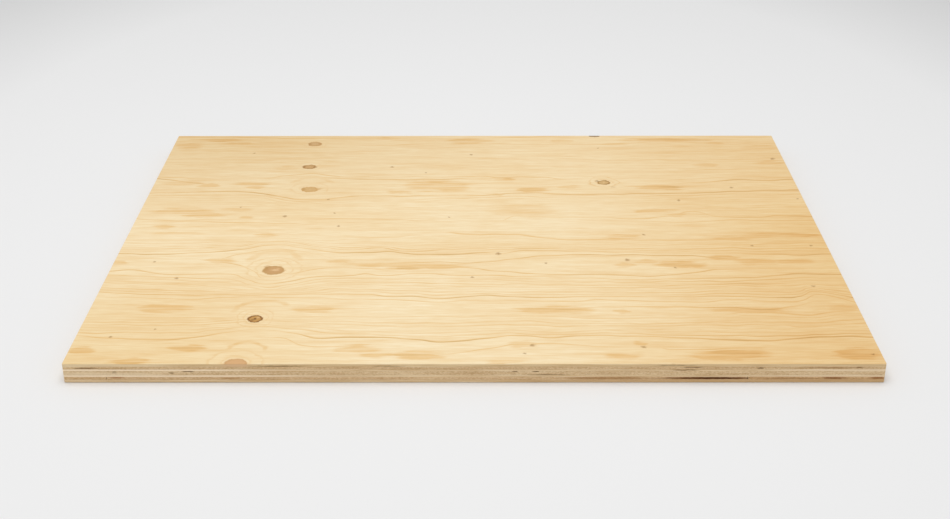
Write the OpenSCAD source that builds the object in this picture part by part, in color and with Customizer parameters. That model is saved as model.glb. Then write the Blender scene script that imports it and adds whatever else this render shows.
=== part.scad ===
// Pine plywood panel: seven layers of rotary-cut veneer, each laid across the one below and glued,
// then sawn to size through all of them and sanded. It lies flat, with the grain of its face along X.
// The origin is at the middle of the underside. All lengths are in millimetres.

/* [Panel] */
// Length of the panel, along the grain of its face
panel_length = 800; // [300:1:2500]
// Width of the panel, across the grain of its face
panel_width = 600; // [200:1:1250]
// Radius to which the arrises round the face and the back are sanded
arris_radius = 0.5; // [0.2:0.1:1.5]

/* [Veneers] */
// Thickness of the face veneer and of the back veneer
face_thickness = 3.3; // [2:0.1:4.5]
// Thickness of each crossband, the veneer glued under the face or over the back
crossband_thickness = 3; // [1:0.1:4.5]
// Thickness of each inner ply whose grain runs along the panel
long_ply_thickness = 1.8; // [1:0.1:4.5]
// Thickness of the core ply in the middle
core_thickness = 4.8; // [1.5:0.1:6]

/* [Lower crossband] */
// Width of the strip of veneer at the left end
left_strip_width = 41.5; // [20:0.5:100]
// Width of the strip of veneer at the right end
right_strip_width = 133; // [20:0.5:150]
// Width of the open butt joint between two strips
joint_gap = 0.3; // [0.1:0.1:1]

/* [Hidden] */

// Each layer rests on the one below
lower_crossband_z = face_thickness;
lower_long_ply_z = lower_crossband_z + crossband_thickness;
core_z = lower_long_ply_z + long_ply_thickness;
upper_long_ply_z = core_z + core_thickness;
upper_crossband_z = upper_long_ply_z + long_ply_thickness;
face_z = upper_crossband_z + crossband_thickness;

// Ends of the strips of the lower crossband, along X
left_end = -panel_length / 2;
right_end = panel_length / 2;
left_joint = left_end + left_strip_width;
right_joint = right_end - right_strip_width;

// Facets of a full circle, for the sanded arrises
arris_facets = 32;

// Section of an outer veneer that lies on its glued side, with both upper corners rounded
module eased_section(width) {
    shoulder = face_thickness - arris_radius;
    translate([-width / 2, 0]) square([width, shoulder]);
    translate([arris_radius - width / 2, 0]) square([width - 2 * arris_radius, face_thickness]);
    for (side = [-1, 1])
        translate([side * (width / 2 - arris_radius), shoulder]) circle(arris_radius, $fn = arris_facets);
}

// Outer veneer with its outer arris eased all round: the long section and the short one, crossed
module outer_veneer() {
    intersection() {
        rotate([90, 0, 0]) linear_extrude(panel_width, center = true) eased_section(panel_length);
        rotate([90, 0, 90]) linear_extrude(panel_length, center = true) eased_section(panel_width);
    }
}

// Stretch of an inner ply from one X to another, sawn flush with the panel's long edges
module inner_ply(from_x, to_x, bottom, thickness) {
    translate([from_x, -panel_width / 2, bottom]) cube([to_x - from_x, panel_width, thickness]);
}

module face_veneer() {
    color("#efd4a5") translate([0, 0, face_z]) outer_veneer();
}

module upper_crossband() {
    color("#bea17a") inner_ply(left_end, right_end, upper_crossband_z, crossband_thickness);
}

module upper_long_ply() {
    color("#e2c49d") inner_ply(left_end, right_end, upper_long_ply_z, long_ply_thickness);
}

module core_ply() {
    color("#c6ac87") inner_ply(left_end, right_end, core_z, core_thickness);
}

module lower_long_ply() {
    color("#e2c49d") inner_ply(left_end, right_end, lower_long_ply_z, long_ply_thickness);
}

module lower_crossband_left() {
    color("#bea078") inner_ply(left_end, left_joint, lower_crossband_z, crossband_thickness);
}

module lower_crossband_middle() {
    color("#a9845a")
        inner_ply(left_joint + joint_gap, right_joint - joint_gap, lower_crossband_z, crossband_thickness);
}

module lower_crossband_right() {
    color("#b9946a") inner_ply(right_joint, right_end, lower_crossband_z, crossband_thickness);
}

module back_veneer() {
    color("#e6c99b") translate([0, 0, face_thickness]) mirror([0, 0, 1]) outer_veneer();
}

face_veneer();
upper_crossband();
upper_long_ply();
core_ply();
lower_long_ply();
lower_crossband_left();
lower_crossband_middle();
lower_crossband_right();
back_veneer();
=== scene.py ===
import math

import bpy
import numpy as np
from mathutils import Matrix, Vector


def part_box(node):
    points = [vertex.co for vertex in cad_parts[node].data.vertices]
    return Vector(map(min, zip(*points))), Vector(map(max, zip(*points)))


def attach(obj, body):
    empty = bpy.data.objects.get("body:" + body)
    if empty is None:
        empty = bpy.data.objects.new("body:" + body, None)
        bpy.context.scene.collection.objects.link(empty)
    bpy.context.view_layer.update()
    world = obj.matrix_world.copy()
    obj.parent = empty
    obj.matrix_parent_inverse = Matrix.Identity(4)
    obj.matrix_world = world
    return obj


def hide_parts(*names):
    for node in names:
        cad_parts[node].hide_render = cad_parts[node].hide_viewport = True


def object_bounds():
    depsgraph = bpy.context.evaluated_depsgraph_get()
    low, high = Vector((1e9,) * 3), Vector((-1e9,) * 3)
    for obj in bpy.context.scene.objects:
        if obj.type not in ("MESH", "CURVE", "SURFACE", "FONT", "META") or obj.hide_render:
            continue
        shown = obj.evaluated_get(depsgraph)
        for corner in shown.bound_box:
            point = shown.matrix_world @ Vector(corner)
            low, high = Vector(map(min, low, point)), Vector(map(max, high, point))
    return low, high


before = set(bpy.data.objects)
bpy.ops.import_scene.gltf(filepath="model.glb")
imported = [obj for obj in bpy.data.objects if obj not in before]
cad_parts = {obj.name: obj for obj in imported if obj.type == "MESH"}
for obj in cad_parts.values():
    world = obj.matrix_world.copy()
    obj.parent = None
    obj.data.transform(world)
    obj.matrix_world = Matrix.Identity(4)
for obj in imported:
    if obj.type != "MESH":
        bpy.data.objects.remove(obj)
cad_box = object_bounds()

# Face veneer
# One sheet of pine peeled from a turning log, with its grain along the panel. It is glued over the
# upper crossband, sawn flush with it at the edges and sanded, and its outer arris is eased.
MM = 0.001
ARRIS_RADIUS = 0.5
ARRIS_STEPS = 4
CORNER_RADIUS = 1.2
CORNER_STEPS = 5
EDGE_STEP = 1.25
FACE_ROWS = 5

# The saw leaves faint upright ridges across all the plies, and the fibres tear a little more where
# they are cut across than where they are cut along.
SAW_RIDGE = 0.03
SAW_PITCH = 2.5
TEAR_ALONG = 0.03
TEAR_ACROSS = 0.09
TEAR_PITCH = 1.6
SAW_SEED = 7
NOISE_VALUES = 4096
# Each side takes its own stretch of the noise, this many millimetres from the next
SIDE_SHIFT = 1000
# A pit has its full depth over its middle third and runs out towards its ends
PIT_SLOPE = 1.5
# Ridges and tears stay on the straight sides, where the outward direction is this near to an axis
STRAIGHT_SIDE = 0.999


def value_noise(position, pitch, seed):
    """Smooth noise from -1 to 1 along a line, with one random value every pitch millimetres."""
    values = np.random.default_rng(seed).uniform(-1, 1, NOISE_VALUES)
    cell = np.asarray(position) / pitch + NOISE_VALUES // 2
    index = np.floor(cell).astype(int)
    share = cell - index
    share = share * share * (3 - 2 * share)
    return values[index % NOISE_VALUES] * (1 - share) + values[(index + 1) % NOISE_VALUES] * share


def sawn_slab(name, low, high, rows, grain, seed, ease_top=0, ease_bottom=0, pits=()):
    """A closed slab between two corners, in millimetres, with saw ridges and torn fibres on its edges.

    Its edge is a band of small faces. Each pit is (x, half length, z, half height, depth) and is
    sunk into the front edge, the one at the lowest Y.
    """
    half = (high - low) / 2
    middle = (high + low) / 2
    outline, out, side = [], [], []
    for number in range(4):
        turn = math.pi / 2 * number
        ahead = np.array((math.cos(turn), math.sin(turn)))
        outward = np.array((math.sin(turn), -math.cos(turn)))
        reach = half[number % 2] - CORNER_RADIUS
        edge = half[1 - number % 2]
        for t in np.linspace(-reach, reach, round(2 * reach / EDGE_STEP) + 1):
            outline.append(ahead * t + outward * edge)
            out.append(outward)
            side.append(number)
        for step in range(1, CORNER_STEPS):
            angle = math.pi / 2 * step / CORNER_STEPS
            slant = outward * math.cos(angle) + ahead * math.sin(angle)
            outline.append(ahead * reach + outward * (edge - CORNER_RADIUS) + slant * CORNER_RADIUS)
            out.append(slant)
            side.append(number)
    outline, out, side = np.array(outline), np.array(out), np.array(side)
    flat = np.max(np.abs(out), axis=1) > STRAIGHT_SIDE

    profile = []
    if ease_bottom:
        for step in range(ARRIS_STEPS):
            angle = math.radians(90 * step / ARRIS_STEPS)
            inset = ease_bottom * (1 - math.sin(angle))
            profile.append((inset, low[2] + ease_bottom * (1 - math.cos(angle))))
    profile.extend((0, z) for z in np.linspace(low[2] + ease_bottom, high[2] - ease_top, rows + 1))
    if ease_top:
        for step in range(1, ARRIS_STEPS + 1):
            angle = math.radians(90 * step / ARRIS_STEPS)
            inset = ease_top * (1 - math.cos(angle))
            profile.append((inset, high[2] - ease_top * (1 - math.sin(angle))))

    across = (side % 2 == 0) == (grain == "Y")
    tear_depth = np.where(across, TEAR_ACROSS, TEAR_ALONG)
    x = outline[:, 0] + middle[0]
    travel = np.where(side % 2 == 0, x, outline[:, 1] + middle[1]) + SIDE_SHIFT * side
    rings = []
    for row, (inset, z) in enumerate(profile):
        relief = SAW_RIDGE * (1 + value_noise(travel, SAW_PITCH, SAW_SEED)) / 2
        relief = relief + tear_depth * np.clip(value_noise(travel, TEAR_PITCH, seed + row), 0, 1) ** 2
        for pit_x, pit_half, pit_z, pit_rise, pit_depth in pits:
            reach = np.clip(PIT_SLOPE - PIT_SLOPE * np.abs(x - pit_x) / pit_half, 0, 1)
            rise = max(0, min(1, PIT_SLOPE - PIT_SLOPE * abs(z - pit_z) / pit_rise))
            relief = relief + np.where(side == 0, pit_depth * rise * reach, 0)
        depth = inset + np.where(flat, relief, 0)
        ring = np.empty((len(outline), 3))
        ring[:, :2] = middle[:2] + outline - out * depth[:, None]
        ring[:, 2] = z
        rings.append(ring)

    count = len(outline)
    corners = np.concatenate(rings) * MM
    faces = []
    for row in range(len(rings) - 1):
        for i in range(count):
            j = (i + 1) % count
            faces.append((row * count + i, row * count + j, (row + 1) * count + j, (row + 1) * count + i))
    top = (len(rings) - 1) * count
    faces.append(tuple(range(top, top + count)))
    faces.append(tuple(range(count - 1, -1, -1)))
    mesh = bpy.data.meshes.new(name)
    mesh.from_pydata(corners.tolist(), [], faces)
    mesh.polygons.foreach_set("use_smooth", [True] * (len(faces) - 2) + [False, False])
    mesh.update()
    piece = bpy.data.objects.new(name, mesh)
    bpy.context.scene.collection.objects.link(piece)
    return piece


def linear(code):
    """A colour written as sRGB hex, as linear red, green, blue and alpha."""
    parts = [int(code[i:i + 2], 16) / 255 for i in (1, 3, 5)]
    return (*[p / 12.92 if p <= 0.04045 else ((p + 0.055) / 1.055) ** 2.4 for p in parts], 1)


def add_node(tree, kind, inputs, stops=(), **settings):
    """Adds a node with its settings and its colour or curve stops, and sets or links its inputs."""
    node = tree.nodes.new(kind if kind.startswith("NodeGroup") else "ShaderNode" + kind)
    for name, value in settings.items():
        setattr(node, name, value)
    if kind == "FloatCurve":
        points = node.mapping.curves[0].points
        points[0].location, points[1].location = stops[0], stops[-1]
        for stop in stops[1:-1]:
            points.new(*stop)
        for point in points:
            point.handle_type = "AUTO_CLAMPED"
        node.mapping.update()
    elif stops:
        elements = node.color_ramp.elements
        for place, (position, colour) in enumerate(stops):
            stop = elements[place] if place < 2 else elements.new(position)
            stop.position, stop.color = position, colour
    for socket, value in inputs.items():
        if isinstance(socket, str):
            socket = next(s for s in node.inputs if s.name == socket and s.enabled)
        else:
            socket = node.inputs[socket]
        if isinstance(value, bpy.types.Node):
            value = next(s for s in value.outputs if s.enabled)
        if isinstance(value, bpy.types.NodeSocket):
            tree.links.new(value, socket)
        else:
            socket.default_value = value
    return node


def new_material(name):
    """An empty node material, and a point in millimetres in the panel's own frame."""
    material = bpy.data.materials.new(name)
    material.use_nodes = True
    tree = material.node_tree
    tree.nodes.clear()
    place = add_node(tree, "TexCoord", {})
    point = add_node(tree, "VectorMath", {0: place.outputs["Object"], "Scale": 1 / MM}, operation="SCALE")
    return material, tree, point


def new_group(name, gives, **takes):
    """An empty node group with one result and inputs named by kind, and the sockets that bring them."""
    group = bpy.data.node_groups.new(name, "ShaderNodeTree")
    for kind, sockets in takes.items():
        for socket in sockets:
            group.interface.new_socket(socket, in_out="INPUT", socket_type="NodeSocket" + kind)
    group.interface.new_socket("Result", in_out="OUTPUT", socket_type="NodeSocket" + gives)
    return group, add_node(group, "NodeGroupInput", {}).outputs


# How far a point is inside an ellipse seen from above: 1 at its centre, 0 at its reach and beyond
ellipse, given = new_group("ellipse", "Float", Vector=["Point", "Scale", "Shift"])
local = add_node(
    ellipse, "VectorMath", {0: given["Point"], 1: given["Scale"], 2: given["Shift"]},
    operation="MULTIPLY_ADD",
)
away = add_node(ellipse, "VectorMath", {0: local}, operation="LENGTH")
inside = add_node(ellipse, "Math", {0: 1, 1: away}, operation="SUBTRACT", use_clamp=True)
add_node(ellipse, "NodeGroupOutput", {"Result": inside})


def add_patch(tree, point, centre, half_sizes, reach=1):
    """An ellipse at a place. It reaches as far as its half sizes in millimetres, or a multiple of them."""
    ends = (reach * half_sizes[0], reach * half_sizes[1])
    scale = (1 / ends[0], 1 / ends[1], 0)
    shift = (-centre[0] / ends[0], -centre[1] / ends[1], 0)
    return add_node(tree, "Group", {"Point": point, "Scale": scale, "Shift": shift}, node_tree=ellipse)


def add_noise(tree, point, lengths, detail):
    """Noise whose lumps are as long as the given lengths, in millimetres along X, Y and Z."""
    scale = [1 / length if length else 0 for length in lengths]
    local = add_node(tree, "VectorMath", {0: point, 1: scale}, operation="MULTIPLY")
    return add_node(tree, "TexNoise", {"Vector": local, "Scale": 1, "Detail": detail, "Roughness": 0.5})


# Across one ring, or along the soft side of a line: pale earlywood, then latewood that ends sharply
RING_PROFILE = [(0, 0), (0.35, 0.1), (0.62, 0.45), (0.8, 1), (0.9, 1), (1, 0)]
PANEL_LENGTH = (cad_box[1][0] - cad_box[0][0]) / MM
PANEL_WIDTH = (cad_box[1][1] - cad_box[0][1]) / MM
ring_stops = [(position, (1, 1, 1, dark)) for position, dark in RING_PROFILE]

# A ring line over the figure before it. It has its course, one soft side and how much it shows
ring_line, given = new_group(
    "ring_line", "Float", Float=["Course", "Height", "Sharpness", "Shows", "Before"],
)
depth = add_node(ring_line, "Math", {0: given["Course"], 1: given["Height"]}, operation="SUBTRACT")
depth = add_node(ring_line, "Math", {0: depth, 1: given["Sharpness"], 2: 1}, operation="MULTIPLY_ADD")
dark = add_node(ring_line, "ValToRGB", {"Fac": depth}, stops=ring_stops).outputs["Alpha"]
dark = add_node(ring_line, "Math", {0: dark, 1: given["Shows"]}, operation="MULTIPLY")
dark = add_node(ring_line, "Math", {0: dark, 1: given["Before"]}, operation="MAXIMUM")
add_node(ring_line, "NodeGroupOutput", {"Result": dark})

# A bundle of finer rings between two courses. Years differ in strength
FAINTEST_YEAR = 0.4
ring_bundle, given = new_group(
    "ring_bundle", "Float", Float=["Upper", "Lower", "Height", "Count", "Uneven", "Share", "Before"],
)
depth = add_node(ring_bundle, "Math", {0: given["Upper"], 1: given["Height"]}, operation="SUBTRACT")
breadth = add_node(ring_bundle, "Math", {0: given["Upper"], 1: given["Lower"]}, operation="SUBTRACT")
depth = add_node(ring_bundle, "Math", {0: depth, 1: breadth}, operation="DIVIDE")
inside = add_node(ring_bundle, "Math", {0: depth, 1: 0.5, 2: 0.5}, operation="COMPARE")
rings = add_node(
    ring_bundle, "Math", {0: depth, 1: given["Count"], 2: given["Uneven"]}, operation="MULTIPLY_ADD",
)
year = add_node(ring_bundle, "Math", {0: rings}, operation="FLOOR")
strength = add_node(ring_bundle, "TexWhiteNoise", {"W": year}, noise_dimensions="1D").outputs["Value"]
strength = add_node(ring_bundle, "MapRange", {"Value": strength, "To Min": FAINTEST_YEAR})
strength = add_node(ring_bundle, "Math", {0: strength, 1: given["Share"]}, operation="MULTIPLY")
phase = add_node(ring_bundle, "Math", {0: rings}, operation="FRACT")
dark = add_node(ring_bundle, "ValToRGB", {"Fac": phase}, stops=ring_stops).outputs["Alpha"]
for factor in (inside, strength):
    dark = add_node(ring_bundle, "Math", {0: dark, 1: factor}, operation="MULTIPLY")
dark = add_node(ring_bundle, "Math", {0: dark, 1: given["Before"]}, operation="MAXIMUM")
add_node(ring_bundle, "NodeGroupOutput", {"Result": dark})

# An island of latewood with a soft, ragged shore
island, given = new_group("island", "Float", Float=["Inside", "Shore", "Inland", "Share", "Before"])
amber = add_node(
    island, "MapRange",
    {
        "Value": given["Inside"], "From Min": given["Shore"], "From Max": given["Inland"],
        "To Max": given["Share"],
    },
    interpolation_type="SMOOTHSTEP",
)
amber = add_node(island, "Math", {0: amber, 1: given["Before"]}, operation="MAXIMUM")
add_node(island, "NodeGroupOutput", {"Result": amber})

# A pin knot, or a mark in a knot: a speck of another tint through which some wood shows
SPECK_COVER = 0.62
speck, given = new_group("speck", "Color", Float=["Inside"], Color=["Before", "Tint"])
cover = add_node(
    speck, "MapRange",
    {"Value": given["Inside"], "From Min": 0.25, "From Max": 0.8, "To Max": SPECK_COVER},
)
tinted = add_node(
    speck, "Mix", {"Factor": cover, "A": given["Before"], "B": given["Tint"]}, data_type="RGBA",
)
add_node(speck, "NodeGroupOutput", {"Result": tinted})

# How far the ellipses of islands, arches, loops, knots and specks reach, as a multiple of the half
# sizes that are given for them, because each is drawn well inside its ellipse
ISLAND_REACH = 1.6
ARCH_REACH = 1.35
LOOP_REACH = 3.2
KNOT_REACH = 1.5
SPECK_REACH = 2


def peeled_pine(name, tones, lines, bundles, islands, knots, arches, pins, offset):
    """Sanded face of a peeled pine veneer.

    The lathe cuts the yearly rings at a low angle, so the eye sees them like the contour lines of a
    map: single lines and close bundles along the grain, bowed round the knots, and amber islands
    where the knife ran along a ring. Sanding leaves it matt.
    """
    material, tree, point = new_material(name)
    start = add_node(tree, "VectorMath", {0: point, 1: (*offset, 0)}, operation="ADD")

    # Place along and across the panel, from 0 to 1. All lines waver together by 1 or 2 mm
    place = add_node(tree, "SeparateXYZ", {"Vector": point})
    along = add_node(
        tree, "Math", {0: place.outputs["X"], 1: 1 / PANEL_LENGTH, 2: 0.5}, operation="MULTIPLY_ADD",
    )
    height = add_node(
        tree, "Math", {0: place.outputs["Y"], 1: 1 / PANEL_WIDTH, 2: 0.5}, operation="MULTIPLY_ADD",
    )
    for lengths, swing in (((80, 40, 0), 6), ((28, 13, 0), 4.5)):
        waver = add_noise(tree, start, lengths, 0)
        waver = add_node(tree, "Math", {0: waver, 1: 0.5}, operation="SUBTRACT")
        height = add_node(
            tree, "Math", {0: waver, 1: swing / PANEL_WIDTH, 2: height}, operation="MULTIPLY_ADD",
        )

    # Ring lines, and bundles of finer rings between two of them
    figure = 0
    courses = {}
    for line, (soft, course, shows) in lines.items():
        courses[line] = add_node(
            tree, "FloatCurve", {"Value": along},
            stops=[(x / PANEL_LENGTH + 0.5, y / PANEL_WIDTH + 0.5) for x, y in course],
        )
        shows = add_node(
            tree, "FloatCurve", {"Value": along},
            stops=[(x / PANEL_LENGTH + 0.5, share) for x, share in shows],
        )
        figure = add_node(
            tree, "Group",
            {
                "Course": courses[line], "Height": height, "Sharpness": PANEL_WIDTH / soft, "Shows": shows,
                "Before": figure,
            },
            node_tree=ring_line,
        )
    uneven = add_noise(tree, start, (140, 26, 0), 1)
    uneven = add_node(tree, "Math", {0: uneven, 1: 0.5}, operation="SUBTRACT")
    for upper, lower, count, share in bundles:
        figure = add_node(
            tree, "Group",
            {
                "Upper": courses[upper], "Lower": courses[lower], "Height": height, "Count": count,
                "Uneven": uneven, "Share": share, "Before": figure,
            },
            node_tree=ring_bundle,
        )

    # A line fades and comes back along its length
    fading = add_noise(tree, start, (110, 12, 0), 1)
    fading = add_node(tree, "MapRange", {"Value": fading, "From Min": 0.3, "From Max": 0.6, "To Min": 0.65})
    figure = add_node(tree, "Math", {0: figure, 1: fading}, operation="MULTIPLY")

    # Islands of latewood with frayed outlines and soft ends, and fainter streaks of it all over, some
    # 3.6 mm wide and some 9 mm wide
    frayed = add_noise(tree, start, (24, 12, 0), 2).outputs["Color"]
    frayed = add_node(tree, "VectorMath", {0: frayed, 1: (0.5, 0.5, 0.5)}, operation="SUBTRACT")
    frayed = add_node(tree, "VectorMath", {0: frayed, 1: (14, 9, 0), 2: point}, operation="MULTIPLY_ADD")
    ragged = add_noise(tree, start, (44, 4.5, 0), 3)
    shore = add_node(tree, "Math", {0: ragged, 1: 1.1, 2: -0.3}, operation="MULTIPLY_ADD")
    inland = add_node(tree, "Math", {0: shore, 1: 0.34}, operation="ADD")
    amber = 0
    for x, y, half_x, half_y, share in islands:
        patch = add_patch(tree, frayed, (x, y), (half_x, half_y), ISLAND_REACH)
        amber = add_node(
            tree, "Group",
            {"Inside": patch, "Shore": shore, "Inland": inland, "Share": share, "Before": amber},
            node_tree=island,
        )
    streak = add_noise(tree, start, (75, 3.6, 0), 3)
    streak = add_node(tree, "MapRange", {"Value": streak, "From Min": 0.38, "From Max": 0.68})
    shade = add_node(tree, "MapRange", {"Value": streak, "To Min": 0.42, "To Max": 0.8})
    amber = add_node(tree, "Math", {0: amber, 1: shade}, operation="MULTIPLY")
    amber = add_node(tree, "Math", {0: streak, 1: 0.17, 2: amber}, operation="MULTIPLY_ADD")
    broad = add_noise(tree, start, (110, 9, 0), 3)
    broad = add_node(tree, "MapRange", {"Value": broad, "From Min": 0.44, "From Max": 0.66})
    amber = add_node(tree, "Math", {0: broad, 1: 0.18, 2: amber}, operation="MULTIPLY_ADD")
    figure = add_node(tree, "Math", {0: amber, 1: figure}, operation="MAXIMUM")

    # Arches where the wood swells over a knot, and loops round it
    for x, y, half_x, half_y, turn, share in arches:
        local = add_node(
            tree, "Mapping",
            {
                "Vector": frayed, "Location": (x, y, 0), "Rotation": (0, 0, math.radians(turn)),
                "Scale": (ARCH_REACH * half_x, ARCH_REACH * half_y, 1e6),
            },
            vector_type="TEXTURE",
        )
        patch = add_node(tree, "TexGradient", {"Vector": local}, gradient_type="SPHERICAL").outputs["Fac"]
        clear = (1, 1, 1, 0)
        shown = (1, 1, 1, share)
        arch = add_node(
            tree, "ValToRGB", {"Fac": patch},
            stops=[(0.06, clear), (0.2, shown), (0.3, shown), (0.42, clear)],
        )
        above = add_node(tree, "SeparateXYZ", {"Vector": local}).outputs["Y"]
        above = add_node(tree, "MapRange", {"Value": above, "From Min": -0.05, "From Max": 0.25})
        arch = arch.outputs["Alpha"]
        for factor in (above, shade):
            arch = add_node(tree, "Math", {0: arch, 1: factor}, operation="MULTIPLY")
        figure = add_node(tree, "Math", {0: arch, 1: figure}, operation="MAXIMUM")
    for knot in knots:
        x, y, half_x, half_y = knot["at"]
        count, share = knot["loops"]
        patch = add_patch(tree, frayed, (x, y + 0.3 * half_y), (half_x, half_y), LOOP_REACH)
        loop = add_node(tree, "Math", {0: patch, 1: count}, operation="MULTIPLY")
        loop = add_node(tree, "Math", {0: loop}, operation="FRACT")
        loop = add_node(tree, "ValToRGB", {"Fac": loop}, stops=ring_stops).outputs["Alpha"]
        for factor in (share, fading):
            loop = add_node(tree, "Math", {0: loop, 1: factor}, operation="MULTIPLY")
        figure = add_node(tree, "Math", {0: loop, 1: figure}, operation="MAXIMUM")
    colour = add_node(
        tree, "ValToRGB", {"Fac": figure},
        stops=[(0.0, linear(tones["pale"])), (0.55, linear(tones["amber"])), (1.0, linear(tones["late"]))],
    ).outputs["Color"]

    # Slow drift from sapwood to warmer heartwood, broad tints at places, and fibres along the grain. The
    # broad tints are partly the wood's own tone and partly painted falloff of the light, darker towards
    # the right side and the corners of the face.
    # The fibres are drawn 1.3 mm wide, coarser than real, so that they show
    drift = add_noise(tree, start, (240, 110, 0), 2)
    drift = add_node(tree, "MapRange", {"Value": drift, "From Min": 0.35, "From Max": 0.7, "To Max": 0.35})
    fibre = add_noise(tree, start, (22, 1.3, 0), 3)
    veil = add_node(tree, "MapRange", {"Value": fibre, "From Min": 0.3, "From Max": 0.7, "To Max": 0.6})
    washes = [(drift, tones["drift"]), (veil, tones["fibre"])]
    # Broad tints: partly the wood's own tone, partly painted falloff of the light towards the sides and
    # corners
    for x, y, half_x, half_y, tint in tones["tints_and_painted_falloff"]:
        washes.append((add_patch(tree, point, (x, y), (half_x, half_y)), tint))
    for factor, tint in washes:
        colour = add_node(
            tree, "Mix", {"Factor": factor, "A": colour, "B": linear(tint)},
            data_type="RGBA", blend_type="MULTIPLY",
        )

    # Knots: branch wood with a dark rim, its outline a little uneven, and pin knots as dark specks
    jitter = add_noise(tree, start, (4.5, 4.5, 0), 2).outputs["Color"]
    jitter = add_node(tree, "VectorMath", {0: jitter, 1: (0.5, 0.5, 0.5)}, operation="SUBTRACT")
    jittered = add_node(tree, "VectorMath", {0: jitter, 1: (5, 5, 0), 2: point}, operation="MULTIPLY_ADD")
    for knot in knots:
        x, y, half_x, half_y = knot["at"]
        patch = add_patch(tree, jittered, (x, y), (half_x, half_y), KNOT_REACH)
        heart, wood, rim = [linear(code) for code in knot["tones"]]
        clear = (*rim[:3], 0)
        branch = add_node(
            tree, "ValToRGB", {"Fac": patch},
            stops=[
                (0.0, clear), (0.26, clear), (0.37, rim), (0.42, rim), (0.52, wood), (0.82, wood),
                (0.95, heart),
            ],
        )
        colour = add_node(
            tree, "Mix", {"Factor": branch.outputs["Alpha"], "A": colour, "B": branch.outputs["Color"]},
            data_type="RGBA",
        )
    specks = [(x, y, radius, radius, tones["pin"]) for x, y, radius in pins]
    for x, y, half_x, half_y, tint in specks + [mark for knot in knots for mark in knot["marks"]]:
        patch = add_patch(tree, jittered, (x, y), (half_x, half_y), SPECK_REACH)
        colour = add_node(
            tree, "Group", {"Inside": patch, "Before": colour, "Tint": linear(tint)}, node_tree=speck,
        )

    bump = add_node(tree, "Bump", {"Strength": 0.12, "Distance": 0.0003, "Height": fibre})
    surface = add_node(
        tree, "BsdfPrincipled",
        {"Base Color": colour, "Roughness": 0.62, "IOR": 1.5, "Specular IOR Level": 0.3, "Normal": bump},
    )
    add_node(tree, "OutputMaterial", {"Surface": surface})
    return material


face_tones = {
    "pale": "#faebc9", "amber": "#edcb93", "late": "#c9a66c", "drift": "#f5e5c6", "fibre": "#f1e2c6",
    "pin": "#97662a",
    # Broad tints, each a middle, half sizes and tone: partly the wood's own tone and partly painted falloff
    # of the light, darker towards the right side and the corners
    "tints_and_painted_falloff": [
        (430, -40, 330, 460, "#f4e5c8"), (-330, 340, 420, 330, "#eee4d2"), (300, 360, 480, 330, "#f7efe2"),
        (380, -330, 360, 260, "#f7eddb"), (-400, -300, 320, 260, "#f9f2e3"),
    ],
}
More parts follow.
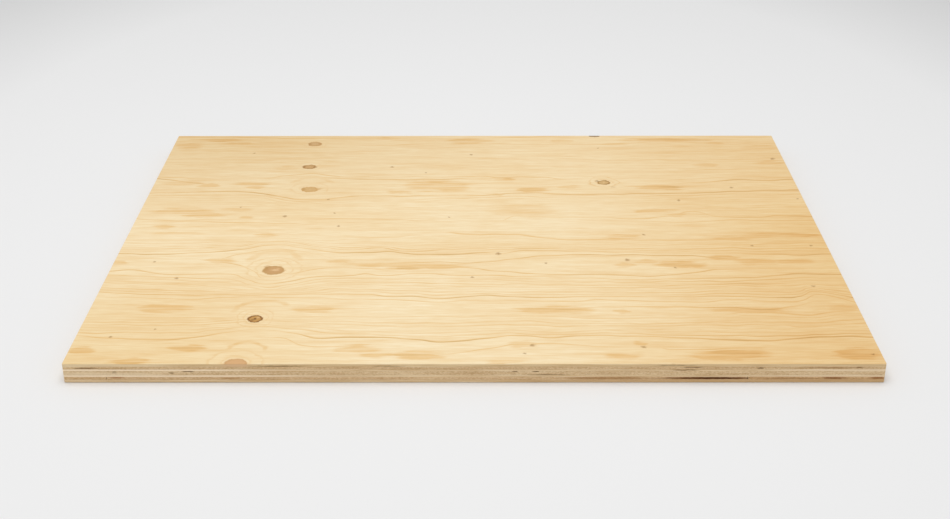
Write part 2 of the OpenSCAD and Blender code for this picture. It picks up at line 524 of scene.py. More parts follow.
# Each line, from the back to the front: the width of its soft side, above it or, below zero, under it;
# its course as points along X and Y; and how much it shows at points along X
face_lines = {
    "rim": (8, [
        (-400, 293), (-300, 291), (-70, 289), (20, 290), (110, 295), (165, 297), (200, 291), (230, 285),
        (310, 283), (400, 287),
    ], [
        (-400, 0.55), (-100, 0.55), (0, 0.4), (70, 0.6), (165, 0.2), (230, 0.8), (308, 0.9), (325, 0.15),
        (400, 0.1),
    ]),
    "rear": (8, [
        (-400, 263), (-300, 273), (-250, 276), (-190, 268), (-120, 262), (-95, 267), (-20, 270), (80, 267),
        (165, 267), (200, 272), (245, 276), (345, 266), (400, 269),
    ], [
        (-400, 0.3), (-150, 0.15), (-90, 0.4), (60, 0.4), (180, 0.55), (300, 0.3), (400, 0.5),
    ]),
    "faint": (8, [
        (-400, 217), (-330, 216), (-270, 211), (-240, 217), (-160, 205), (-60, 207), (50, 216), (115, 217),
        (175, 212), (270, 212), (330, 216), (400, 211),
    ], [
        (-400, 0.35), (-200, 0.3), (0, 0.15), (80, 0.35), (400, 0.4),
    ]),
    "arch": (6, [
        (-400, 157), (-290, 152), (-262, 153), (-240, 160), (-208, 168), (-162, 158), (-90, 158), (8, 160),
        (31, 154), (60, 158), (90, 156), (110, 149), (150, 152), (200, 150), (273, 152), (330, 157),
        (400, 156),
    ], [
        (-400, 0.5), (-290, 0.35), (-250, 0.65), (-165, 0.5), (-60, 0.3), (30, 0.7), (105, 0.6),
        (160, 0.25), (310, 0.5), (400, 0.5),
    ]),
    "ledge": (7, [
        (-400, 152), (-365, 144), (-335, 137), (-295, 141), (-262, 147), (-230, 157), (-205, 160),
        (-180, 154), (-133, 152), (-83, 150), (-20, 152), (31, 146), (90, 145), (140, 148), (200, 142),
        (235, 147), (273, 140), (333, 148), (358, 145), (400, 149),
    ], [
        (-400, 0.9), (-345, 0.8), (-315, 0.15), (-250, 0.3), (-190, 0.5), (-133, 0.8), (-30, 0.75),
        (10, 0.35), (180, 0.15), (290, 0.5), (340, 0.9), (400, 0.85),
    ]),
    "strong_back": (7, [
        (-400, 107), (-325, 112), (-275, 110), (-247, 101), (-212, 89), (-175, 91), (-133, 99), (-8, 100),
        (70, 107), (130, 103), (170, 103), (283, 109), (400, 117),
    ], [
        (-400, 0.9), (-240, 0.9), (-205, 0.55), (-133, 0.7), (0, 0.9), (130, 0.75), (280, 0.85), (400, 1),
    ]),
    "next_back": (5, [
        (-400, 101), (-345, 102), (-275, 103), (-245, 93), (-212, 83), (-175, 85), (-133, 91), (-58, 90),
        (66, 97), (133, 93), (180, 93), (233, 99), (333, 103), (400, 105),
    ], [
        (-400, 0.2), (-345, 0.6), (-320, 0.2), (-255, 0.6), (-150, 0.4), (0, 0.6), (133, 0.4), (300, 0.6),
        (400, 0.6),
    ]),
    "calm": (6, [
        (-400, 84), (-275, 84), (-212, 70), (-133, 76), (66, 82), (400, 88),
    ], [
        (-400, 0.15), (400, 0.25),
    ]),
    "middle": (7, [
        (-400, 33), (-345, 29), (-200, 33), (-83, 30), (-20, 25), (29, 26), (50, 42), (70, 37), (133, 36),
        (200, 33), (233, 42), (262, 53), (285, 40), (333, 36), (360, 40), (400, 38),
    ], [
        (-400, 0.5), (-345, 0.6), (-280, 0.3), (-133, 0.5), (0, 0.35), (60, 0.45), (133, 0.35), (200, 0.6),
        (262, 0.45), (300, 0.75), (400, 0.7),
    ]),
    "next_middle": (6, [
        (-400, 27), (-295, 24), (-250, 20), (-60, 18), (60, 23), (133, 25), (233, 23), (308, 29), (345, 26),
        (400, 28),
    ], [
        (-400, 0.2), (-340, 0.6), (-250, 0.5), (-100, 0.25), (60, 0.2), (233, 0.4), (310, 0.55), (400, 0.5),
    ]),
    "low_middle": (6, [
        (-400, 10), (-60, 11), (60, 13), (310, 18), (400, 17),
    ], [
        (-400, 0.25), (0, 0.2), (400, 0.35),
    ]),
    "soft_amber": (10, [
        (-400, -9), (-200, -10), (-126, -20), (-91, -19), (-40, -5), (-13, -9), (46, -11), (84, -20),
        (120, -24), (183, -26), (273, -25), (323, -18), (400, -14),
    ], [
        (-400, 0.25), (-150, 0.25), (-110, 0.45), (-50, 0.2), (-20, 0.5), (60, 0.6), (240, 0.5), (300, 0.5),
        (400, 0.3),
    ]),
    "fine_top": (5, [
        (-400, -27), (-270, -25), (-222, -19), (-182, -25), (-133, -29), (133, -32), (293, -31), (400, -28),
    ], [
        (-400, 0.3), (400, 0.3),
    ]),
    "fine": (5, [
        (-400, -49), (-300, -45), (-270, -41), (-245, -33), (-222, -29), (-200, -34), (-182, -42),
        (-133, -50), (-108, -47), (-76, -54), (9, -47), (27, -51), (66, -47), (133, -48), (263, -54),
        (400, -54),
    ], [
        (-400, 0.5), (-250, 0.6), (-133, 0.7), (10, 0.65), (27, 0.3), (50, 0.7), (133, 0.65), (400, 0.6),
    ]),
    "strong_middle": (7, [
        (-400, -59), (-350, -61), (-300, -56), (-262, -49), (-240, -40), (-222, -37), (-205, -43),
        (-182, -51), (-133, -59), (-98, -56), (-80, -60), (-26, -64), (16, -58), (30, -60), (60, -53),
        (133, -55), (263, -60), (340, -61), (358, -65), (400, -61),
    ], [
        (-400, 0.85), (-260, 0.8), (-222, 0.5), (-160, 0.7), (-100, 1), (10, 0.9), (27, 0.35), (50, 0.7),
        (133, 0.6), (263, 0.4), (340, 0.8), (400, 0.9),
    ]),
    "lens_top": (-6, [
        (-400, -74), (-300, -77), (-265, -61), (-240, -50), (-220, -46), (-200, -51), (-165, -65),
        (-140, -81), (-96, -83), (-63, -80), (-13, -81), (41, -72), (74, -65), (133, -61), (240, -63),
        (288, -71), (400, -74),
    ], [
        (-400, 0), (-305, 0), (-280, 0.55), (-222, 0.6), (-165, 0.3), (-133, 0.5), (10, 0.7), (133, 0.8),
        (250, 0.85), (290, 0.4), (310, 0.05), (400, 0.05),
    ]),
    "wedge": (5, [
        (-400, -78), (-295, -79), (-255, -91), (-240, -104), (-230, -120), (-215, -125), (400, -125),
    ], [
        (-400, 0), (-305, 0), (-285, 0.5), (-240, 0.7), (-228, 0.2), (-222, 0), (400, 0),
    ]),
    "lens_foot": (6, [
        (-400, -108), (-215, -113), (-192, -105), (-150, -96), (-98, -99), (-18, -95), (16, -102),
        (66, -109), (150, -111), (190, -115), (223, -111), (276, -100), (310, -103), (400, -104),
    ], [
        (-400, 0), (-212, 0), (-190, 0.6), (-100, 0.5), (-10, 0.6), (20, 0.75), (203, 0.8), (260, 0.65),
        (290, 0.4), (310, 0.05), (400, 0),
    ]),
    "sweep": (6, [
        (-400, -105), (-380, -102), (-337, -109), (-265, -111), (-245, -124), (-222, -134), (-200, -127),
        (-180, -117), (-133, -114), (-118, -110), (-101, -114), (-53, -110), (-20, -114), (26, -115),
        (84, -118), (133, -122), (183, -125), (253, -120), (313, -118), (345, -111), (400, -110),
    ], [
        (-400, 0.75), (-225, 0.6), (-180, 0.7), (-60, 0.7), (20, 0.6), (133, 0.6), (253, 0.7), (345, 0.85),
        (400, 0.9),
    ]),
    "next_sweep": (5, [
        (-400, -114), (-300, -120), (-265, -123), (-240, -136), (-222, -141), (-200, -135), (-180, -126),
        (-133, -121), (-46, -122), (10, -122), (41, -127), (133, -130), (238, -128), (313, -125),
        (358, -120), (400, -121),
    ], [
        (-400, 0.5), (-320, 0.65), (-222, 0.5), (-133, 0.6), (0, 0.5), (133, 0.6), (313, 0.65), (400, 0.6),
    ]),
    "low_sweep": (5, [
        (-400, -124), (-300, -137), (-240, -147), (-222, -149), (-200, -145), (-133, -130), (-33, -132),
        (133, -137), (220, -138), (265, -133), (323, -132), (400, -131),
    ], [
        (-400, 0.3), (-310, 0.65), (-222, 0.3), (-133, 0.5), (-50, 0.6), (133, 0.5), (300, 0.75),
        (330, 0.6), (350, 0.2), (400, 0.2),
    ]),
    "ripple": (6, [
        (-400, -152), (-362, -157), (-250, -159), (-200, -157), (-113, -158), (-88, -163), (-68, -162),
        (-36, -168), (-3, -163), (21, -160), (91, -165), (178, -162), (283, -162), (330, -167), (345, -163),
        (361, -151), (376, -156), (400, -167),
    ], [
        (-400, 0.6), (-300, 0.65), (-133, 0.6), (-60, 0.9), (30, 0.8), (133, 0.7), (308, 0.8), (335, 1),
        (362, 0.6), (400, 0.9),
    ]),
    "next_ripple": (6, [
        (-400, -163), (-290, -168), (-225, -163), (-133, -168), (-63, -172), (-36, -176), (-8, -171),
        (60, -172), (104, -174), (133, -171), (183, -174), (238, -176), (273, -170), (330, -176),
        (345, -173), (364, -160), (380, -165), (400, -176),
    ], [
        (-400, 0.1), (-290, 0.6), (-133, 0.5), (-40, 0.6), (133, 0.6), (273, 0.6), (400, 0.55),
    ]),
    "shelf": (-7, [
        (-400, -184), (100, -184), (170, -184), (263, -185), (303, -190), (333, -184), (358, -174),
        (400, -182),
    ], [
        (-400, 0), (90, 0), (120, 0.4), (240, 0.7), (300, 0.85), (335, 0.55), (365, 0.2), (400, 0.4),
    ]),
    "shelf_foot": (6, [
        (-400, -203), (60, -200), (120, -204), (263, -200), (283, -197), (345, -202), (383, -194),
        (400, -192),
    ], [
        (-400, 0.1), (50, 0.2), (90, 0.35), (130, 0.35), (200, 0.15), (270, 0.5), (360, 0.6), (400, 0.4),
    ]),
    "fine_front": (5, [
        (-400, -240), (-300, -240), (-262, -233), (-225, -225), (-185, -232), (-133, -242), (-33, -246),
        (46, -241), (84, -245), (133, -241), (233, -245), (308, -246), (400, -242),
    ], [
        (-400, 0.5), (-225, 0.4), (0, 0.55), (133, 0.5), (230, 0.75), (400, 0.7),
    ]),
    "strong_front": (7, [
        (-400, -245), (-350, -251), (-300, -253), (-262, -243), (-225, -234), (-187, -240), (-160, -249),
        (-88, -251), (-26, -257), (16, -250), (51, -246), (75, -251), (104, -248), (163, -247), (218, -251),
        (283, -256), (333, -251), (400, -250),
    ], [
        (-400, 0.3), (-350, 0.65), (-270, 0.7), (-225, 0.4), (-165, 0.7), (-50, 1), (20, 0.8), (133, 0.7),
        (283, 0.9), (400, 0.95),
    ]),
    "soft_front": (-6, [
        (-400, -262), (-270, -262), (-225, -247), (-195, -248), (-170, -261), (-133, -266), (-60, -274),
        (-33, -280), (6, -271), (41, -262), (76, -261), (133, -266), (175, -265), (195, -272), (278, -267),
        (400, -269),
    ], [
        (-400, 0), (-250, 0), (-200, 0.45), (-133, 0.6), (-60, 0.15), (-25, 0.5), (26, 0.6), (133, 0.4),
        (160, 0.2), (233, 0.6), (282, 0.55), (300, 0), (400, 0),
    ]),
}
# Each bundle: the two lines that it lies between, how many rings it holds and how much they show
face_bundles = [
    ("rim", "rear", 3, 0.22), ("rear", "faint", 6, 0.25), ("faint", "arch", 7, 0.28),
    ("ledge", "strong_back", 5, 0.2),
    ("next_back", "calm", 2, 0.4), ("calm", "middle", 5, 0.25), ("next_middle", "low_middle", 2, 0.35),
    ("low_middle", "soft_amber", 3, 0.22), ("soft_amber", "fine_top", 2, 0.3), ("fine_top", "fine", 4, 0.6),
    ("fine", "strong_middle", 2, 0.55), ("next_sweep", "low_sweep", 2, 0.5),
    ("low_sweep", "ripple", 5, 0.6),
    ("next_ripple", "shelf_foot", 4, 0.22), ("shelf_foot", "fine_front", 7, 0.55),
]
# Each island: its middle, its half length and half height, and how much it shows
face_islands = [
    (-345, 285, 32, 6, 0.5), (-378, 264, 20, 10, 0.5), (-320, 272, 24, 5, 0.45), (-118, 289, 16, 5, 0.45),
    (-8, 280, 30, 11, 0.5), (117, 281, 16, 6, 0.45), (250, 285, 50, 5, 0.5), (185, 269, 20, 4, 0.4),
    (320, 272, 15, 3, 0.4), (375, 258, 28, 8, 0.35), (298, 197, 17, 6, 0.45), (382, 205, 20, 8, 0.45),
    (-240, 188, 14, 7, 0.35), (-330, 133, 14, 6, 0.6), (-365, 140, 25, 6, 0.35), (-277, 137, 24, 7, 0.6),
    (-272, 128, 14, 5, 0.6), (-45, 132, 42, 18, 0.5), (-30, 125, 26, 12, 0.55), (37, 150, 13, 4, 0.7),
    (72, 119, 21, 8, 0.55), (119, 127, 15, 7, 0.55), (225, 127, 34, 8, 0.65), (-95, 111, 18, 4, 0.5),
    (25, 104, 12, 3, 0.6), (-345, 54, 34, 9, 0.55), (-320, 45, 26, 7, 0.55), (-285, 60, 18, 5, 0.45),
    (-272, 37, 10, 4, 0.5), (60, 55, 44, 20, 0.25), (215, 57, 26, 5, 0.55), (240, 44, 10, 6, 0.3),
    (-362, 12, 14, 5, 0.45), (-240, -12, 13, 6, 0.5), (-350, -6, 35, 4, 0.35), (170, -16, 22, 6, 0.4),
    (355, -11, 48, 7, 0.65), (300, -20, 25, 5, 0.4), (-284, -76, 19, 6, 0.6), (-395, -82, 12, 7, 0.5),
    (-70, -88, 62, 8, 0.55), (-55, -92, 40, 6, 0.6), (-150, -78, 14, 4, 0.4), (167, -88, 13, 6, 0.5),
    (192, -79, 14, 5, 0.45), (228, -86, 27, 8, 0.7), (278, -70, 20, 6, 0.65), (312, -80, 26, 8, 0.5),
    (352, -78, 22, 6, 0.4), (-325, -187, 28, 8, 0.5), (-168, -191, 22, 7, 0.5), (85, -191, 42, 8, 0.6),
    (152, -193, 8, 7, 0.5), (285, -191, 40, 7, 0.6), (385, -188, 18, 8, 0.35), (-257, -210, 16, 5, 0.4),
    (-388, -274, 14, 8, 0.6), (-284, -270, 19, 6, 0.6), (-335, -295, 20, 6, 0.6), (-115, -272, 22, 8, 0.5),
    (-55, -284, 26, 9, 0.55), (-95, -283, 20, 6, 0.45), (48, -262, 13, 7, 0.5), (147, -285, 20, 6, 0.5),
    (252, -282, 40, 9, 0.65), (240, -288, 28, 5, 0.65), (378, -281, 24, 12, 0.7), (28, -297, 20, 4, 0.45),
    (166, -261, 7, 4, 0.5),
]
# Each knot: its centre and half sizes, the loops round it and how much they show, the tones of its
# heart, wood and rim, and smaller marks in it
face_knots = [
    {
        "at": (-213, 270, 8.5, 7.5), "loops": (2, 0.2), "tones": ("#d1ac78", "#cba571", "#c3965c"),
        "marks": [(-219.5, 270, 2.2, 4.5, "#b2854d"), (-206, 270, 2, 4, "#bd9058")],
    },
    {
        "at": (-212, 192, 8.2, 6.8), "loops": (2, 0.25), "tones": ("#d0aa74", "#c79e68", "#b08244"),
        "marks": [(-219, 192, 2.2, 3.6, "#9d6f38"), (-205, 191, 2.2, 3.2, "#a67a44")],
    },
    {
        "at": (-204, 120, 10, 7.5), "loops": (3, 0.3), "tones": ("#dab47a", "#d4ad73", "#cfa262"),
        "marks": [(-212, 121, 2.4, 4.5, "#c29658"), (-192, 122, 3.2, 2.6, "#d2aa70")],
    },
    {
        "at": (-220, -100, 11.8, 10.7), "loops": (4, 0.33), "tones": ("#d5aa72", "#ca9e68", "#c59a5f"),
        "marks": [
            (-228.5, -95, 2.8, 6, "#b88c52"), (-219, -100, 4.5, 1.8, "#e8c392"),
            (-216, -97, 1.8, 3, "#e3bb88"),
        ],
    },
    {
        "at": (-225, -210, 7.6, 7.4), "loops": (4, 0.33), "tones": ("#5f3a0c", "#c19250", "#8c5c22"),
        "marks": [(-222, -207, 1.6, 1.6, "#e6bf8a"), (-227.5, -212.5, 2, 1.6, "#6a4010")],
    },
    {
        "at": (-231.5, -300, 11.2, 9.5), "loops": (3, 0.33), "tones": ("#d9ab79", "#d6a976", "#cfa16c"),
        "marks": [],
    },
    {
        "at": (161, 141, 7.6, 6.4), "loops": (3, 0.4), "tones": ("#dabb85", "#d0ab72", "#a97d40"),
        "marks": [(153, 145.5, 2.2, 2, "#8a6024"), (172, 127, 3, 1.2, "#b98c50")],
    },
    {
        "at": (161, 298, 7, 3), "loops": (1, 0.2), "tones": ("#ab8f6a", "#a3865f", "#957751"),
        "marks": [],
    },
]
# Each arch: its middle, its half width and height, its turn in degrees and how much it shows
face_arches = [
    (-203, 135, 25, 21, 0, 0.5), (-221, -84, 28, 32, 0, 0.5), (-215, -88, 14, 13, 0, 0.35),
    (-222, -192, 28, 20, 12, 0.6), (-226, -277, 19, 19, -5, 0.65),
]
# Each pin knot: its middle and its radius
face_pins = [
    (-289, 238, 1.6), (-5, 233, 1.5), (-106, 191, 2.0), (-62, 173, 1.6), (-178, 90, 1.6), (-281, 67, 1.3),
    (-167, 50, 1.7), (-159, 14, 1.6), (-30, 38, 1.5), (163, 255, 1.3), (386, 218, 2.6), (318, 125, 2.0),
    (248, 87, 2.0), (393, 91, 1.6), (195, -10, 1.7), (315, -39, 1.8), (382, -39, 1.6), (79, -83, 1.5),
    (221, -94, 1.6), (363, -138, 2.0), (-2, -117, 1.8), (-323, -119, 1.8), (-355, -79, 1.5),
    (-365, -247, 1.7), (-323, -232, 1.3), (50, -280, 1.3), (391, -282, 1.6), (-225, 41, 2.4),
    (27, -59, 2.6), (170, -75, 2.6), (58, -264, 2.3), (168, -268, 2.4),
]

sanded_face = peeled_pine(
    "sanded_pine_face", face_tones, face_lines, face_bundles, face_islands, face_knots, face_arches,
    face_pins, (0, 0),
)


# Level bands of the rings on a sawn edge lie this far apart, and a streak goes this far into the edge
BAND_SPACING = 1.8
STREAK_DEPTH = 40


def sawn_pine(name, grain, light, dark, ends, seed, streaks=()):
    """Sawn edge of a pine veneer.

    Cut along the grain it shows pale streaks, and cut across the grain it is darker and speckled with
    open fibres. The rings lie nearly flat in a peeled veneer, so they show as faint level bands.
    """
    material, tree, point = new_material(name)
    start = add_node(tree, "VectorMath", {0: point, 1: (131 * seed, 117 * seed, 0)}, operation="ADD")

    # Tone changes along the length, and fibres are long along the grain. They are drawn 2 mm wide,
    # coarser than real, so that they show
    slow = add_noise(tree, start, (60, 60, 4), 3)
    fibre = add_noise(tree, start, (38, 2, 0.9) if grain == "X" else (2, 38, 0.9), 3)
    tone = add_node(tree, "Math", {0: fibre, 1: 1.4, 2: slow}, operation="MULTIPLY_ADD")
    tone = add_node(tree, "MapRange", {"Value": tone, "From Min": 0.9, "From Max": 1.55})
    colour = add_node(
        tree, "Mix", {"Factor": tone.outputs[0], "A": linear(light), "B": linear(dark)}, data_type="RGBA",
    )

    # Rings in bands that rise and fall slowly along the edge
    rise = add_noise(tree, start, (160, 160, 60), 1)
    level = add_node(tree, "SeparateXYZ", {"Vector": point}).outputs["Z"]
    level = add_node(tree, "Math", {0: level, 1: 1 / BAND_SPACING}, operation="MULTIPLY")
    level = add_node(tree, "Math", {0: rise, 1: 5, 2: level}, operation="MULTIPLY_ADD")
    level = add_node(tree, "Math", {0: level}, operation="FRACT")
    band = add_node(
        tree, "ValToRGB", {"Fac": level},
        stops=[
            (0.0, linear("#ffffff")), (0.4, linear("#ffffff")), (0.85, linear("#efe2cb")),
            (1.0, linear("#ffffff")),
        ],
    )
    colour = add_node(
        tree, "Mix", {"Factor": 0.8, "A": colour, "B": band.outputs["Color"]},
        data_type="RGBA", blend_type="MULTIPLY",
    )

    # The two short edges cut the fibres the other way
    facing = add_node(tree, "NewGeometry", {}).outputs["Normal"]
    facing = add_node(tree, "SeparateXYZ", {"Vector": facing}).outputs["X"]
    facing = add_node(tree, "Math", {0: facing}, operation="ABSOLUTE")
    facing = add_node(tree, "MapRange", {"Value": facing, "To Min": 0, "To Max": 0.5})
    colour = add_node(
        tree, "Mix", {"Factor": facing.outputs[0], "A": colour, "B": linear(ends)}, data_type="RGBA",
    )

    # Streaks and marks of the front edge, each at its own place, with frayed outlines. The dark marks
    # that lie over the sunk pits are partly the wood's own dark and partly painted shade inside those
    # hollows
    frayed = add_noise(tree, start, (6, 0, 1.2), 2).outputs["Color"]
    frayed = add_node(tree, "VectorMath", {0: frayed, 1: (0.5, 0.5, 0.5)}, operation="SUBTRACT")
    frayed = add_node(tree, "VectorMath", {0: frayed, 1: (8, 0, 1.2), 2: point}, operation="MULTIPLY_ADD")
    for x, half_x, z, half_z, tint, share in streaks:
        local = add_node(
            tree, "Mapping",
            {
                "Vector": frayed, "Location": (x, cad_box[0][1] / MM, z),
                "Scale": (half_x, STREAK_DEPTH, half_z),
            },
            vector_type="TEXTURE",
        )
        patch = add_node(tree, "TexGradient", {"Vector": local}, gradient_type="SPHERICAL").outputs["Fac"]
        patch = add_node(tree, "MapRange", {"Value": patch, "From Max": 0.45, "To Max": share})
        colour = add_node(
            tree, "Mix", {"Factor": patch.outputs[0], "A": colour, "B": linear(tint)}, data_type="RGBA",
        )

    bump = add_node(tree, "Bump", {"Strength": 0.4, "Distance": 0.0004, "Height": fibre})
    surface = add_node(
        tree, "BsdfPrincipled",
        {"Base Color": colour, "Roughness": 0.8, "IOR": 1.5, "Specular IOR Level": 0.2, "Normal": bump},
    )
    add_node(tree, "OutputMaterial", {"Surface": surface})
    return material


def corners_of(node):
    """A node's lowest and highest corners, in millimetres."""
    low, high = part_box(node)
    return np.array(low) / MM, np.array(high) / MM


def fit_out(piece, node, materials):
    """Gives a piece its materials, hangs it on the panel and puts it in the place of its node."""
    for material in materials:
        piece.data.materials.append(material)
    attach(piece, "root")
    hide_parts(node)


CUT_ACROSS = "#d2b083"
CUT_ALONG = "#f3dcb4"
low, high = corners_of("face_veneer")
face = sawn_slab(
    "face_veneer_sheet", low, high, FACE_ROWS, "X", 100, ease_top=ARRIS_RADIUS,
    pits=[(193.5, 2.4, 20.6, 1.2, 0.7), (186, 1.5, 20.8, 0.6, 0.4)],
)
face_edge = sawn_pine(
    "sawn_pine_face_edge", "X", "#f0d8ae", "#d4b485", CUT_ACROSS, 1,
    streaks=[
        (-360, 90, 19.5, 6, "#f3dcb4", 0.5), (-231, 16, 20, 7, "#e2bb90", 0.8),
        (-189, 34, 18.5, 0.7, "#8d6f45", 0.85), (-83, 20, 18.4, 0.6, "#8f6f45", 0.7),
        (196, 24, 19.2, 0.6, "#86653b", 0.7),
    ],
)
fit_out(face, "face_veneer", [face_edge, sanded_face])
for polygon in face.data.polygons:
    polygon.material_index = 1 if polygon.center.z > (high[2] - ARRIS_RADIUS) * MM else 0

# Crossbands and core
# Veneers laid with their grain across the panel, so the front and back edges show their end grain:
# darker and speckled, with small open voids where fibres or slivers are missing. The dark marks over
# the voids are partly painted shade inside them. They are glued in.
cross_plies = {
    "upper_crossband": {
        "tones": ("#ecd0a6", "#c6a274"), "rows": 4, "seed": 2,
        "pits": [(-378, 10, 16, 0.6, 0.4), (278, 1.6, 16, 0.6, 0.6), (374, 2.5, 16.6, 0.6, 0.5)],
        "streaks": [
            (-378, 14, 16, 0.8, "#8a6a42", 0.9), (278, 3, 16, 0.8, "#76572f", 0.9),
            (374, 5, 16.6, 0.8, "#76572f", 0.9), (350, 45, 16.4, 1.0, "#a98052", 0.7),
            (212, 14, 17.1, 0.7, "#7a5831", 0.8),
        ],
    },
    "core_ply": {
        "tones": ("#f0d7b0", "#cbaa7e"), "rows": 6, "seed": 3,
        "pits": [
            (-350, 1.6, 11.2, 1.2, 0.8), (-294, 1.8, 10.6, 0.6, 0.6), (-278, 4, 12.4, 0.6, 0.7),
            (60, 1.6, 12.6, 1.0, 0.8), (40, 1.4, 12.4, 0.8, 0.6), (72, 22, 8.5, 0.5, 0.4),
        ],
        "streaks": [
            (-350, 3, 11.2, 1.6, "#8a6a42", 0.8), (-294, 3.4, 10.6, 0.8, "#8a6a42", 0.9),
            (-278, 7, 12.4, 0.8, "#7a5c35", 0.9), (60, 4, 12.6, 1.2, "#7a5c35", 0.9),
            (40, 3, 12.4, 1.0, "#8a6a42", 0.8), (72, 26, 8.6, 0.6, "#86673e", 0.8),
            (-360, 70, 9.5, 2.5, "#f2dcb8", 0.5),
        ],
    },
    "lower_crossband_left": {
        "tones": ("#e6c9a0", "#c39c6c"), "rows": 4, "seed": 4, "pits": [], "streaks": [],
    },
    "lower_crossband_middle": {
        "tones": ("#ebcfa7", "#c9a377"), "rows": 4, "seed": 5,
        "pits": [(230, 34, 4.8, 0.7, 0.3)],
        "streaks": [
            (-348, 8, 5.3, 1.2, "#a9713f", 0.6), (-237, 12, 4.6, 1.2, "#b0824f", 0.6),
            (130, 55, 4.8, 1.8, "#a97c4c", 0.7), (228, 62, 4.8, 1.7, "#8a5a2c", 0.9),
            (231, 46, 4.8, 1.0, "#56331a", 0.95),
        ],
    },
    "lower_crossband_right": {
        "tones": ("#ddba8d", "#b58b5c"), "rows": 4, "seed": 6, "pits": [],
        "streaks": [
            (351, 14, 5, 1.4, "#8d5b2f", 0.8), (393, 10, 5, 1.6, "#9a6433", 0.8),
            (310, 40, 4.4, 1.0, "#a67a4b", 0.6),
        ],
    },
}
for node, ply in cross_plies.items():
    low, high = corners_of(node)
    piece = sawn_slab(node + "_sheet", low, high, ply["rows"], "Y", 100 * ply["seed"], pits=ply["pits"])
    edge = sawn_pine("sawn_pine_" + node, "Y", *ply["tones"], CUT_ALONG, ply["seed"], ply["streaks"])
    fit_out(piece, node, [edge])

# Inner long plies
# Two thin veneers with their grain along the panel, glued between the crossbands and the core. Their
# front and back edges are cut along the grain, so they show as pale lines.
LONG_PLY_ROWS = 3
long_plies = {
    "upper_long_ply": (7, [
        (-400, 240, 13.8, 9, "#ffe9c8", 0.9), (400, 110, 13.8, 9, "#ffe9c8", 0.6),
        (205, 16, 14, 0.8, "#8b673c", 0.8),
    ]),
    "lower_long_ply": (8, [(-400, 300, 7.2, 9, "#ffe9c8", 0.9), (400, 160, 7.2, 9, "#ffe9c8", 0.4)]),
}
for node, (seed, streaks) in long_plies.items():
    low, high = corners_of(node)
    piece = sawn_slab(node + "_sheet", low, high, LONG_PLY_ROWS, "X", 100 * seed)
    edge = sawn_pine("sawn_pine_" + node, "X", "#f6dfb9", "#dabb8e", CUT_ACROSS, seed, streaks)
    fit_out(piece, node, [edge])

# Back veneer
# The sheet under everything, peeled and glued like the face and sanded less. It has the plainer side
# of the log, with few knots.
back_tones = dict(face_tones, pale="#eed6aa", amber="#e3bd83", late="#cda76f", tints_and_painted_falloff=[])
low, high = corners_of("back_veneer")
back = sawn_slab("back_veneer_sheet", low, high, FACE_ROWS, "X", 900, ease_bottom=ARRIS_RADIUS)
back_lines = {
    "rear": (8, [(-400, 246), (-150, 252), (120, 244), (400, 250)], [(-400, 0.5), (0, 0.8), (400, 0.5)]),
    "upper": (7, [(-400, 160), (-100, 168), (200, 158), (400, 164)], [(-400, 0.8), (100, 0.5), (400, 0.8)]),
    "bow": (
        7,
        [(-400, 78), (-60, 74), (180, 82), (240, 92), (300, 82), (400, 76)],
        [(-400, 0.7), (240, 0.9), (400, 0.7)],
    ),
    "under_bow": (
        7,
        [(-400, 40), (-60, 36), (180, 38), (240, 26), (300, 36), (400, 40)],
        [(-400, 0.6), (240, 0.8), (400, 0.6)],
    ),
    "middle": (8, [(-400, -46), (-120, -40), (180, -52), (400, -44)], [(-400, 0.9), (0, 0.6), (400, 0.9)]),
    "swell": (
        7,
        [(-400, -150), (-190, -152), (-120, -138), (-50, -152), (400, -146)],
        [(-400, 0.7), (-120, 0.9), (400, 0.7)],
    ),
    "foot": (
        7,
        [(-400, -214), (-190, -210), (-120, -224), (-50, -212), (400, -216)],
        [(-400, 0.6), (-120, 0.9), (400, 0.8)],
    ),
    "front": (8, [(-400, -262), (0, -270), (400, -260)], [(-400, 0.6), (400, 0.8)]),
}
back_face = peeled_pine(
    "sanded_pine_back", back_tones, back_lines,
    [
        ("rear", "upper", 9, 0.4), ("upper", "bow", 7, 0.3), ("under_bow", "middle", 8, 0.4),
        ("middle", "swell", 9, 0.35),
        ("foot", "front", 6, 0.45),
    ],
    [
        (-260, 205, 70, 9, 0.5), (180, 200, 60, 8, 0.5), (-60, 120, 80, 10, 0.55), (300, 118, 50, 8, 0.5),
        (-300, -5, 60, 9, 0.5), (80, -2, 70, 10, 0.5), (250, -100, 70, 9, 0.55), (-300, -95, 50, 8, 0.5),
        (120, -180, 80, 10, 0.5), (330, -185, 40, 8, 0.5), (-250, -282, 60, 8, 0.5),
        (150, -286, 70, 8, 0.5),
    ],
    [
        {
            "at": (240, 60, 9, 8), "loops": (3, 0.35), "tones": ("#d2ad80", "#caa678", "#b48f5f"),
            "marks": [],
        },
        {
            "at": (-120, -180, 8, 7), "loops": (3, 0.35), "tones": ("#d0aa7b", "#caa474", "#a98456"),
            "marks": [],
        },
    ],
    [],
    [(-320, 200, 1.8), (90, 210, 1.6), (-60, 80, 1.7), (310, -90, 1.8), (120, -230, 1.6)],
    (530, 410),
)
back_edge = sawn_pine(
    "sawn_pine_back_edge", "X", "#f0d7b0", "#d6b78a", CUT_ACROSS, 9,
    streaks=[(330, 330, 1.6, 12, "#c59a64", 0.55)],
)
fit_out(back, "back_veneer", [back_edge, back_face])
for polygon in back.data.polygons:
    polygon.material_index = 1 if polygon.center.z < (low[2] + ARRIS_RADIUS) * MM else 0
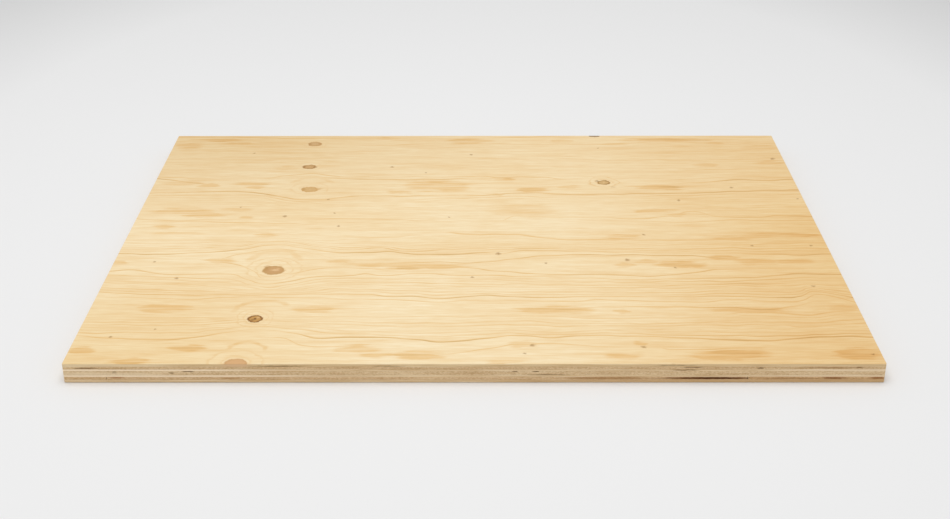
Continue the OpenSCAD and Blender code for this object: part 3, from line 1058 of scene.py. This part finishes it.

# Studio floor and light
# A wide sheet of matt pale paper under the panel, painted darker towards its far reaches as a painted
# falloff of the light, one large soft lamp overhead and a little to the front and left, and an even
# white surround that fills the shadows.
FLOOR_HALF = 4
FLOOR_DROP = 0.0003
bpy.ops.mesh.primitive_plane_add(size=2 * FLOOR_HALF, location=(0, 0, cad_box[0][2] - FLOOR_DROP))
floor = bpy.context.object
floor.name = "studio_floor"
paper, tree, point = new_material("pale_paper_painted_falloff")
# Painted falloff: the paper is painted darker away from the panel, standing in for light that fades
patch = add_patch(tree, point, (0, 200), (1250, 1700))
shade = add_node(
    tree, "ValToRGB", {"Fac": patch},
    stops=[
        (0.0, linear("#d3d3d3")), (0.14, linear("#d8d8d8")), (0.42, linear("#eaeaea")),
        (1.0, linear("#ececec")),
    ],
)
paper_surface = add_node(tree, "BsdfPrincipled", {"Base Color": shade.outputs["Color"], "Roughness": 0.95})
add_node(tree, "OutputMaterial", {"Surface": paper_surface})
floor.data.materials.append(paper)

SURROUND_LIGHT = 0.6
SURROUND_SEEN = 0.85
world = bpy.data.worlds.new("white_surround")
bpy.context.scene.world = world
world.use_nodes = True
world.node_tree.nodes.clear()
ray = add_node(world.node_tree, "LightPath", {})
level = add_node(
    world.node_tree, "MapRange",
    {"Value": ray.outputs["Is Camera Ray"], "To Min": SURROUND_LIGHT, "To Max": SURROUND_SEEN},
)
surround = add_node(world.node_tree, "Background", {"Color": linear("#ffffff"), "Strength": level})
add_node(world.node_tree, "OutputWorld", {"Surface": surround})

LAMP_SIDE = 2.4
LAMP_PLACE = (-0.15, -0.25, 2.8)
LAMP_WATTS = 43
lamp_data = bpy.data.lights.new("softbox", "AREA")
lamp_data.shape = "SQUARE"
lamp_data.size = LAMP_SIDE
lamp_data.energy = LAMP_WATTS
lamp = bpy.data.objects.new("softbox", lamp_data)
bpy.context.scene.collection.objects.link(lamp)
lamp.location = LAMP_PLACE
lamp.rotation_euler = (math.atan2(LAMP_PLACE[1], -LAMP_PLACE[2]) + math.pi, 0, 0)

# Camera
# It stands in front of the panel and looks down on it, with a lens a little longer than normal.
CAMERA_PLACE = (0.004, -1.4761, 0.722)
CAMERA_TILT = 26.56
CAMERA_YAW = 0.1
CAMERA_ROLL = 0.075
FOCAL_LENGTH = 53.39
camera_data = bpy.data.cameras.new("camera")
camera_data.sensor_width = 36
camera_data.lens = FOCAL_LENGTH
camera = bpy.data.objects.new("camera", camera_data)
bpy.context.scene.collection.objects.link(camera)
camera.location = CAMERA_PLACE
camera.rotation_euler = [math.radians(angle) for angle in (90 - CAMERA_TILT, CAMERA_ROLL, CAMERA_YAW)]
bpy.context.scene.camera = camera
bpy.context.scene.view_settings.view_transform = "Standard"
